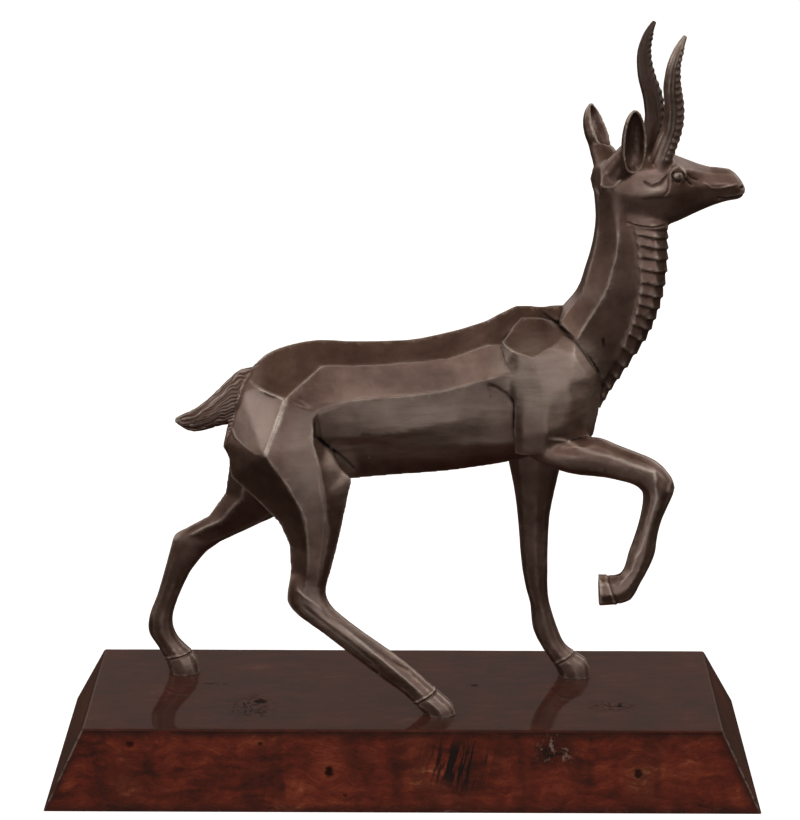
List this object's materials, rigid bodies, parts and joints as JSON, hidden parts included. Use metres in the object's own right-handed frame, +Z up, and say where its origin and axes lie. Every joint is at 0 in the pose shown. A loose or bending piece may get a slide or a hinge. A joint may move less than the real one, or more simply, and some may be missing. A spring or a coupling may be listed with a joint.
{
  "type": "antelope figurine on a plinth",
  "caption": "Cast bronze antelope striding with a foreleg raised, carved in broad planes, fixed to a lacquered wooden plinth with sloping sides; a desk ornament.",
  "frame": {"origin": "centre of the plinth's underside", "axes": "+X the way the antelope faces, +Z up, -Y the side whose foreleg is raised"},
  "size_m": [0.432, 0.17, 0.459],
  "materials": {
    "bronze": "dark brown patina, satin, with the facet edges rubbed lighter",
    "wood": "dark red-brown, high-gloss lacquer over knotty wood"
  },
  "bodies": {
    "root": {"antelope": "bronze", "plinth": "wood"}
  },
  "joints": []
}
